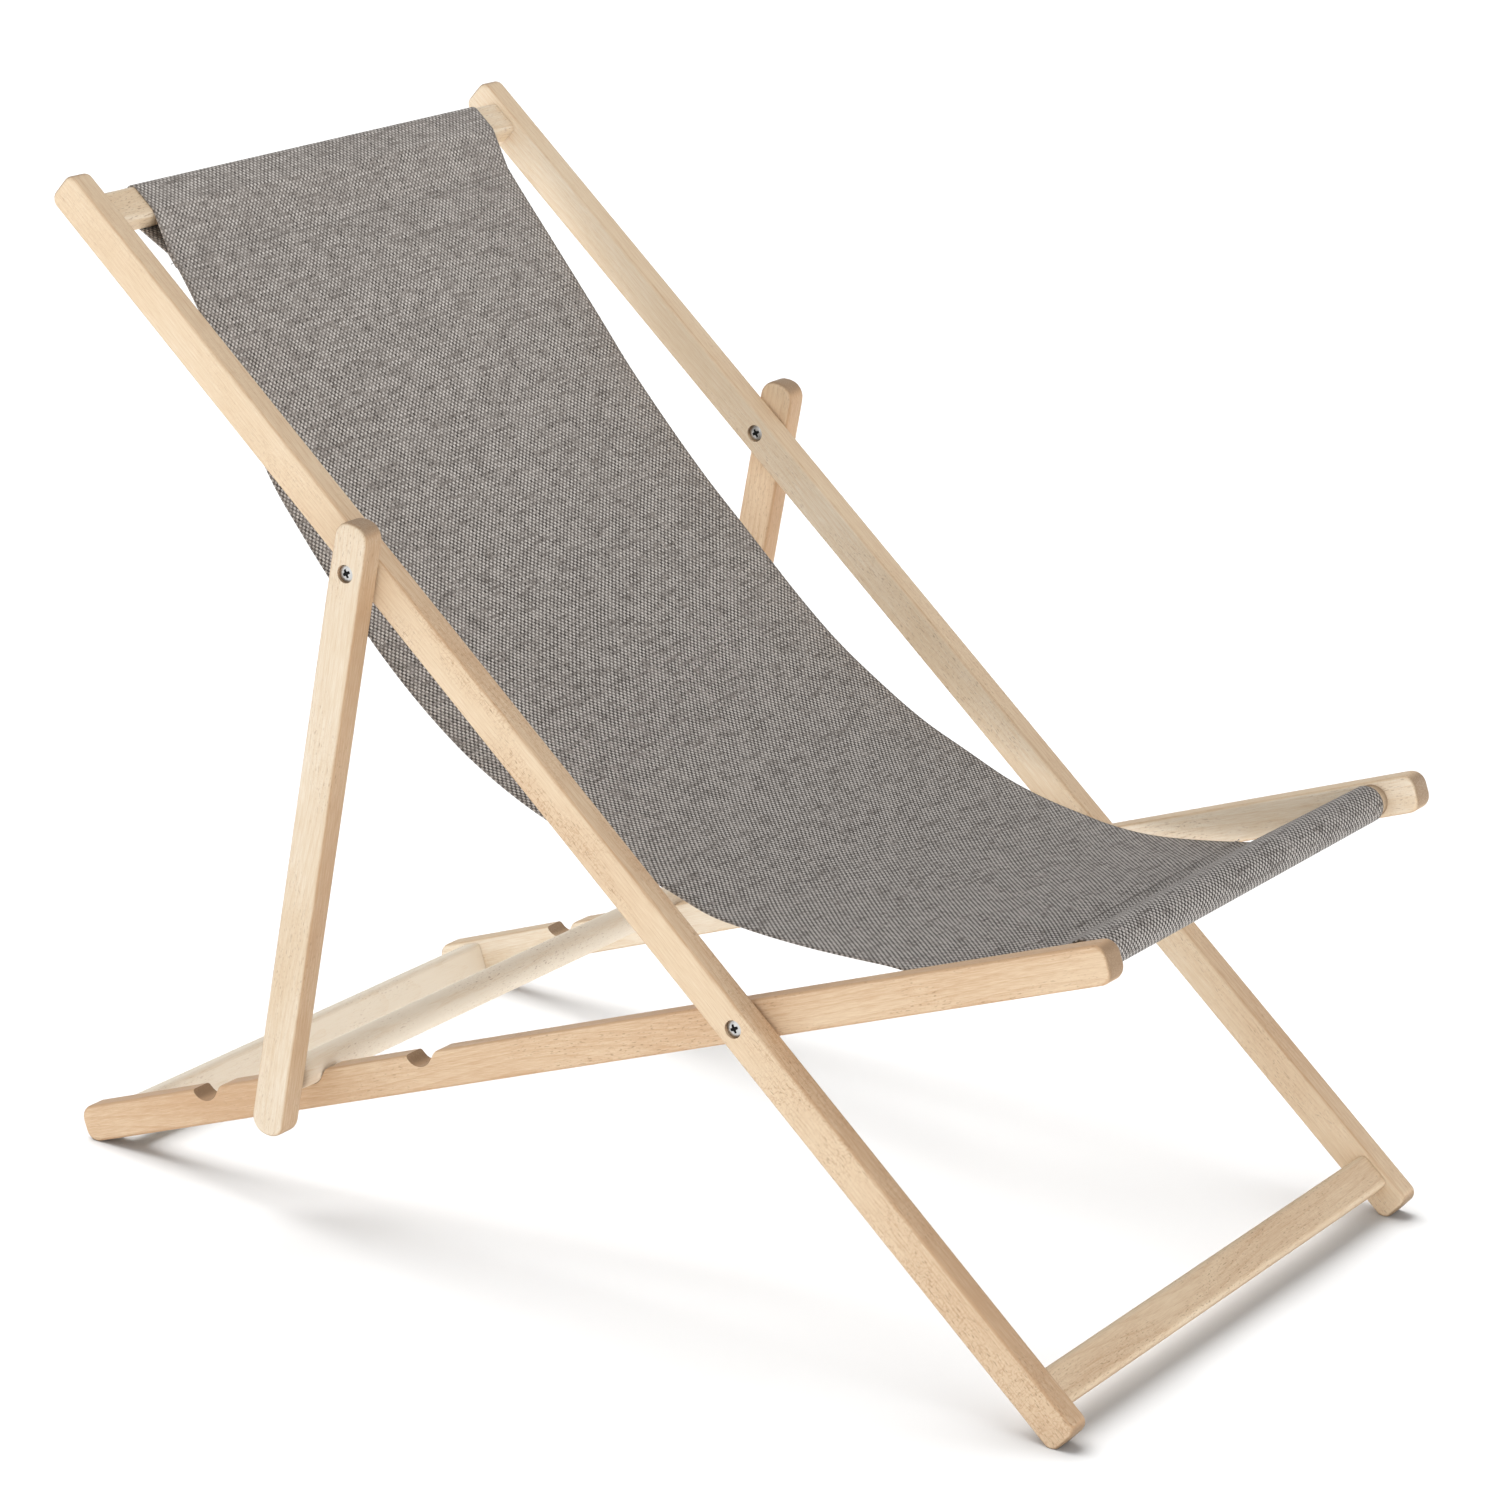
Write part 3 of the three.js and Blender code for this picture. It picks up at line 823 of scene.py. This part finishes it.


# the edges column makes the narrow faces more tan, partly as painted shade
WOOD_NODES = {  # node: grain's tilt, how tan, flecked, paler along, edges, curls, level
    "long_rail_left": (BACK_TILT, 0.27, 0.9, 0.36, 0.36, 0.85, 0.975),
    "long_rail_right": (BACK_TILT, -0.08, 0.6, 0.40, 0.50, 0.3),
    "prop_leg_left": (PROP_TILT, -0.28, 0.6, 0.0, 1.10, 0.2, 0.89),
    "prop_leg_right": (PROP_TILT, 0.35, 0.5, 0.0, 0.60, 0.2),
    "seat_rail_left": (SEAT_TILT, 0.70, 0.8, -0.30, 0.25, 0.2),
    "seat_rail_right": (SEAT_TILT, -0.45, 0.6, 0.0, 0.80, 0.2),
    "top_crossbar": (None, -0.25, 0.8, 0.0, 0.0, 0.2),
    "foot_crossbar": (None, 0.05, 0.8, 0.0, 0.0, 0.4),
    # the rear crossbar's near-white wood is painted light, standing in for light falling on it under the sling
    "seat_rear_crossbar": (None, -0.95, 0.4, 0.0, 0.0, 0.1),
}


class CHAIR_OT_beech_frames(bpy.types.Operator):
    """Give the rails, legs and bars a beech finish and softened edges"""

    bl_idname = "chair.beech_frames"
    bl_label = "Beech frames"

    def execute(self, context):
        sizes = context.scene.chair_sizes
        for seed, (name, (tilt, *look)) in enumerate(WOOD_NODES.items(), 11):
            piece = frame["nodes"][name]
            use_material(piece, beech_finish(name, tilt, middle(name), seed, *look))
            shade_smooth(piece.data)
            weld = piece.modifiers.new("weld", "WELD")
            weld.merge_threshold = 2e-5
            split = piece.modifiers.new("edges", "EDGE_SPLIT")
            split.split_angle = sizes.edge
            soft = piece.modifiers.new("soft", "WEIGHTED_NORMAL")
            soft.mode = "FACE_AREA"
            soft.weight = 80
        return {"FINISHED"}


class CHAIR_OT_dowels(bpy.types.Operator):
    """Turn the front dowel and the prop dowel, with a spigot at each end"""

    bl_idname = "chair.dowels"
    bl_label = "Turned dowels"

    def execute(self, context):
        # the prop dowel's near-white wood is painted light, as on the rear crossbar
        dowels = (("seat_front_dowel", 0.0), ("prop_dowel", -1.0))
        for seed, (node, warmth) in enumerate(dowels, 31):
            lo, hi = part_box(node)
            centre, radius = (lo + hi) / 2, (hi.z - lo.z) / 2
            body = hi.x - SPIGOT_LENGTH
            right = np.vstack(
                [
                    rounded_end(body, radius, 0.0008, 1)[::-1],
                    [(body, SPIGOT_RADIUS), (hi.x - 0.0005, SPIGOT_RADIUS)],
                    [(hi.x, SPIGOT_RADIUS - 0.0005), (hi.x, 0.0)],
                ]
            )
            steps = np.linspace(-body, body, 25)[1:-1]
            barrel = np.stack([steps, np.full(len(steps), radius)], axis=1)
            rows = np.vstack([right[::-1] * (-1, 1), barrel, right])
            material = beech_finish(node, None, centre, seed, warmth, 0.6)
            place = (0.0, centre.y, centre.z)
            made = turned(f"{node}_turned", rows, DOWEL_SIDES, material, place)
            stands_for(made, node)
        return {"FINISHED"}


def head_rows(radius, dome, thick, shank, depth):
    """Profile of a domed head and its shank, from the crown's pole to the far pole.

    Distances run outwards: the crown falls by the square of its radius, the rim is a
    quarter round, then the seat, the shank and its end.
    """
    ease = 0.0005
    r = np.linspace(0, radius - ease, CROWN_ROWS)
    crown = np.stack([-dome * (r / radius) ** 2, r], axis=1)
    edge = crown[-1, 0]
    a = np.linspace(0, np.pi / 2, 6)[1:]
    rim = np.stack([edge - ease * (1 - np.cos(a)), radius - ease * (1 - np.sin(a))], axis=1)
    seat = -(dome + thick)
    tail = [(seat, radius), (seat, shank)]
    tip = [(-depth + 0.0004, shank), (-depth, shank - 0.0004), (-depth, 0.0)]
    return np.vstack([crown, rim, tail, tip])


def cross_sink(rows, around, arm, depth):
    """How far each point of a head sinks for the cross recess, and that as a share.

    Two bars lie square to each other, each a smooth step in across and along; the
    deeper of the two counts, and the centre is a little deeper still.
    """
    a = np.linspace(0, 2 * np.pi, around, endpoint=False)
    r = rows[:, 1:2]
    y, z = r * np.cos(a + 0.5), r * np.sin(a + 0.5)

    def bar(p, q):
        narrow = 0.00075 + 0.0003 * smooth_step(np.abs(p), arm, 0.0)
        inside = 1 - smooth_step(np.abs(q), narrow, narrow + 0.00035)
        return inside * (1 - smooth_step(np.abs(p), arm * 0.86, arm))

    out = np.hypot(y, z)
    share = np.maximum(bar(y, z), bar(z, y))
    share = np.maximum(share, 1 - smooth_step(out, 0.0011, 0.0019))
    share = share * (np.arange(len(rows)) < CROWN_ROWS)[:, None]
    return depth * share * (0.55 + 0.45 * (1 - smooth_step(out, 0.0, arm))), share


class CHAIR_OT_pivot_hardware(bpy.types.Operator):
    """Make the domed cross-head screws and sleeve nuts, and finish the washers"""

    bl_idname = "chair.pivot_hardware"
    bl_label = "Pivot hardware"

    def execute(self, context):
        sizes = context.scene.chair_sizes
        steel, washer_steel = steel_finish(), steel_finish(False)
        for pivot in ("seat_pivot", "prop_pivot"):
            for side, way in (("left", -1), ("right", 1)):
                screw, nut = f"{pivot}_screw_{side}", f"{pivot}_nut_{side}"
                for node, out, shank in ((screw, way, 0.003), (nut, -way, 0.004)):
                    lo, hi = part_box(node)
                    centre = (lo + hi) / 2
                    place = (hi.x if out > 0 else lo.x, centre.y, centre.z)
                    rows = head_rows(HEAD_RADIUS, HEAD_DOME, HEAD_RIM, shank, hi.x - lo.x)
                    sink, share = cross_sink(rows, HEAD_SIDES, sizes.recess, RECESS_DEPTH)
                    rows, sunk = rows * (out, 1), (-out * sink, share)
                    made = turned(f"{node}_head", rows, HEAD_SIDES, steel, place, sunk)
                    stands_for(made, node)
                use_material(frame["nodes"][f"{pivot}_washer_{side}"], washer_steel)
        return {"FINISHED"}


def seam_stitches(name, line, half, offsets, normal, body, material):
    """A row of short stitches across the sling, on both its faces.

    Each stitch is a thread carried along a low arch: half a sine wave high, thinning
    into the cloth at both ends. One arch is worked out and repeated across the width.
    Line is the seam's (y, z), and offsets are the two faces' distances from it.
    """
    sizes = bpy.context.scene.chair_sizes
    pitch, reach = sizes.stitch, sizes.stitch * 0.72
    count = int((2 * half - 0.008) / pitch)
    starts = (np.arange(count) - (count - 1) / 2) * pitch
    t = np.linspace(0, 1, STITCH_RINGS)
    a = np.linspace(0, 2 * np.pi, STITCH_SIDES, endpoint=False)
    fat = STITCH_RADIUS * (0.35 + 0.65 * np.sin(np.pi * t))
    ring = np.empty((STITCH_RINGS, STITCH_SIDES, 3))
    ring[..., 0] = (t[:, None] - 0.5) * reach
    ring[..., 1] = fat[:, None] * np.cos(a)
    ring[..., 2] = STITCH_LIFT * np.sin(np.pi * t)[:, None] + fat[:, None] * np.sin(a)
    local = ring.reshape(-1, 3)
    quads = grid_quads(STITCH_RINGS, STITCH_SIDES, ring=True)[:, ::-1]
    caps = [np.arange(STITCH_SIDES)[::-1], np.arange(len(local) - STITCH_SIDES, len(local))]
    n = np.array([0.0, normal[0], normal[1]])
    tangent = np.array([0.0, -normal[1], normal[0]])
    points, faces = [], []
    for face, (up, off) in enumerate(zip((1, -1), offsets)):
        block = np.empty((count, len(local), 3))
        block[:] = (
            np.array([0.0, *line]) + local[:, 1:2] * tangent + (local[:, 2:3] * up + off) * n
        )
        block[..., 0] = local[None, :, 0] * up + starts[:, None]
        base = ((np.arange(count) + face * count) * len(local))[:, None, None]
        points.append(block.reshape(-1, 3))
        faces.extend((quads[None] + base).reshape(-1, 4).tolist())
        for cap in caps:
            faces.extend((cap[None] + base[:, 0]).tolist())
    mesh = bpy.data.meshes.new(name)
    mesh.from_pydata(np.vstack(points), [], faces)
    shade_smooth(mesh)
    mesh.materials.append(material)
    made = new_object(name, mesh)
    close_poles(made)
    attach(made, body)
    return made


class CHAIR_OT_fabric_sling(bpy.types.Operator):
    """Weave the sling with its two sewn tunnels, hems and stitched seams"""

    bl_idname = "chair.fabric_sling"
    bl_label = "Fabric sling"

    def execute(self, context):
        sizes = context.scene.chair_sizes
        points, uv, (first, last), length = sling_surface()
        sling = grid_mesh("sling_cloth", points, canvas_finish(), uv=uv)
        wall = sling.modifiers.new("cloth", "SOLIDIFY")
        wall.thickness = sizes.cloth
        wall.offset = 0.0
        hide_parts("fabric_sling")
        column = points.shape[1] // 2
        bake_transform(sling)
        thread = thread_finish()
        lap = sizes.cloth + 0.00025
        for name, index, step, body in (
            ("top_seam_stitches", first, 4, "back_frame"),
            ("front_seam_stitches", last, -3, "seat_frame"),
        ):
            at = points[index + step // 2, column]
            way = points[index + step, column] - points[index, column]
            way = way / np.linalg.norm(way)
            normal = np.array([-way[2], way[1]])
            normal *= np.sign(normal[1])
            faces = (sizes.cloth / 2, -(sizes.cloth / 2 + lap))
            half = float(points[0, -1, 0])
            seam_stitches(name, at[1:], half, faces, normal, body, thread)
        return {"FINISHED"}


class CHAIR_OT_stage(bpy.types.Operator):
    """Lay the floor, hang the soft lights and set up the camera"""

    bl_idname = "chair.stage"
    bl_label = "Stage"

    def execute(self, context):
        scene = context.scene
        matt = {"Roughness": 0.9, "Specular IOR Level": 0.1}
        floor_colour = {"Base Color": rgba(scene.chair_colours.floor)}
        material = new_material("plain_floor").finish(floor_colour | matt)
        span = np.linspace(-FLOOR_HALF, FLOOR_HALF, 15)
        x, y = np.meshgrid(span, span, indexing="ij")
        floor = grid_mesh("floor", np.stack([x, y, x * 0 - FLOOR_DROP], axis=-1), material)

        # a bright wall all round that dims towards the ceiling
        scene.world = bpy.data.worlds.new("soft_room")
        r = Recipe(scene.world)
        _, _, height = r.split(r.node("ShaderNodeTexCoord").outputs["Generated"])
        ends = dict(enumerate((*WALL_HEIGHTS, *WALL_LEVELS), 1))
        strength = r.number("ShaderNodeMapRange", {}, {0: height} | ends)
        white = {"Color": (1.0, 1.0, 1.0, 1.0), "Strength": strength}
        back = r.node("ShaderNodeBackground", {}, white)
        r.node("ShaderNodeOutputWorld", {}, {0: back.outputs[0]})

        for name, place, size, power in PANELS:
            lamp = bpy.data.lights.new(name, "AREA")
            lamp.shape, lamp.size, lamp.energy = "SQUARE", size, power
            panel = new_object(name, lamp)
            panel.location = place
            aim = Vector(PANEL_AIM) - Vector(place)
            panel.rotation_euler = aim.to_track_quat("-Z", "Y").to_euler()

        # a broad sun overhead that only the floor receives and only the frames shade, for
        # the soft dark places where the wood meets the floor
        light = bpy.data.lights.new("floor_sun", "SUN")
        light.energy, light.angle = SUN_ENERGY, math.radians(SUN_SPREAD)
        sun = new_object("floor_sun", light)
        sun.rotation_euler = Vector(SUN_FROM).to_track_quat("Z", "Y").to_euler()
        lit = bpy.data.collections.new("floor_only")
        lit.objects.link(floor)
        sun.light_linking.receiver_collection = lit
        shading = bpy.data.collections.new("frames_only")
        for name in WOOD_NODES:
            shading.objects.link(frame["nodes"][name])
        sun.light_linking.blocker_collection = shading

        camera = new_object("view_camera", bpy.data.cameras.new("view_camera"))
        azimuth, elevation, roll = (math.radians(a) for a in CAMERA_ANGLES)
        behind = Vector(
            (
                math.sin(azimuth) * math.cos(elevation),
                -math.cos(azimuth) * math.cos(elevation),
                math.sin(elevation),
            )
        )
        level = Vector((0, 0, 1)).cross(behind).normalized()
        up = behind.cross(level)
        right = level * math.cos(roll) + up * math.sin(roll)
        up = up * math.cos(roll) - level * math.sin(roll)
        turn = Matrix((right, up, behind)).transposed()
        camera.matrix_world = Matrix.Translation(CAMERA_PLACE) @ turn.to_4x4()
        camera.data.lens, camera.data.sensor_width = CAMERA_LENS, CAMERA_SENSOR
        camera.data.clip_start, camera.data.clip_end = 0.1, 60.0
        scene.camera = camera
        scene.view_settings.view_transform = "Standard"
        scene.view_settings.look = "None"
        return {"FINISHED"}


OPERATORS = (
    CHAIR_OT_beech_frames,
    CHAIR_OT_dowels,
    CHAIR_OT_pivot_hardware,
    CHAIR_OT_fabric_sling,
    CHAIR_OT_stage,
)


class CHAIR_PT_panel(bpy.types.Panel):
    """Lists the chair's sizes, colours and the steps that make it"""

    bl_label = "Deck Chair"
    bl_idname = "CHAIR_PT_panel"
    bl_space_type = "VIEW_3D"
    bl_region_type = "UI"
    bl_category = "Deck Chair"

    def draw(self, context):
        for group in (context.scene.chair_sizes, context.scene.chair_colours):
            for key in group.__annotations__:
                self.layout.prop(group, key)
        for operator in OPERATORS:
            self.layout.operator(operator.bl_idname)


CLASSES = (ChairSizes, ChairColours, *OPERATORS, CHAIR_PT_panel)


def register():
    for cls in CLASSES:
        bpy.utils.register_class(cls)
    bpy.types.Scene.chair_sizes = bpy.props.PointerProperty(type=ChairSizes)
    bpy.types.Scene.chair_colours = bpy.props.PointerProperty(type=ChairColours)


def unregister():
    del bpy.types.Scene.chair_colours
    del bpy.types.Scene.chair_sizes
    for cls in reversed(CLASSES):
        bpy.utils.unregister_class(cls)


def main():
    """Makes every piece in order."""
    register()
    bpy.ops.chair.beech_frames()
    bpy.ops.chair.dowels()
    bpy.ops.chair.pivot_hardware()
    bpy.ops.chair.fabric_sling()
    bpy.ops.chair.stage()


if __name__ == "__main__":
    main()
